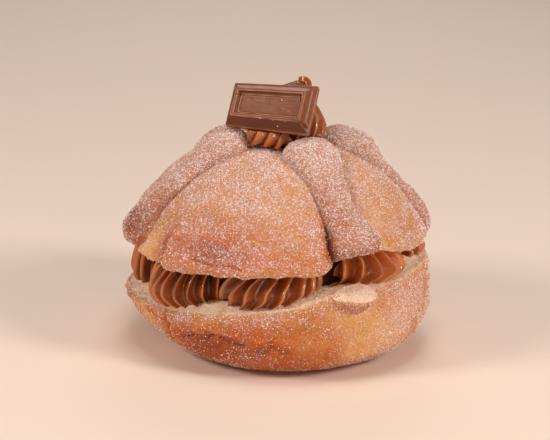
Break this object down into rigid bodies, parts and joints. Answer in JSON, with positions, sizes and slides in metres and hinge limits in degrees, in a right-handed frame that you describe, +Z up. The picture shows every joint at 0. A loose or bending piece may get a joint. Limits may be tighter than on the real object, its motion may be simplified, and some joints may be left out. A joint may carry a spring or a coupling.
{
  "type": "filled pan de muerto",
  "caption": "Round sugared sweet loaf with dough bones on top, cut across and filled with piped chocolate cream, with a cream rosette and a moulded chocolate piece.",
  "frame": {"origin": "middle of the flat spot under the loaf, which it stands on", "axes": "+Z up through the loaf; -Y towards the side that faces the viewer; +X to the viewer's right"},
  "size_m": [0.1201, 0.1174, 0.1018],
  "materials": {
    "crust": "matte golden crust covered in sugar",
    "cream": "satin chocolate cream",
    "chocolate": "satin milk chocolate"
  },
  "bodies": {
    "root": {"lower_half": "crust", "upper_half": "crust", "cream_filling": "cream", "cream_rosette": "cream", "chocolate_piece": "chocolate"}
  },
  "joints": []
}
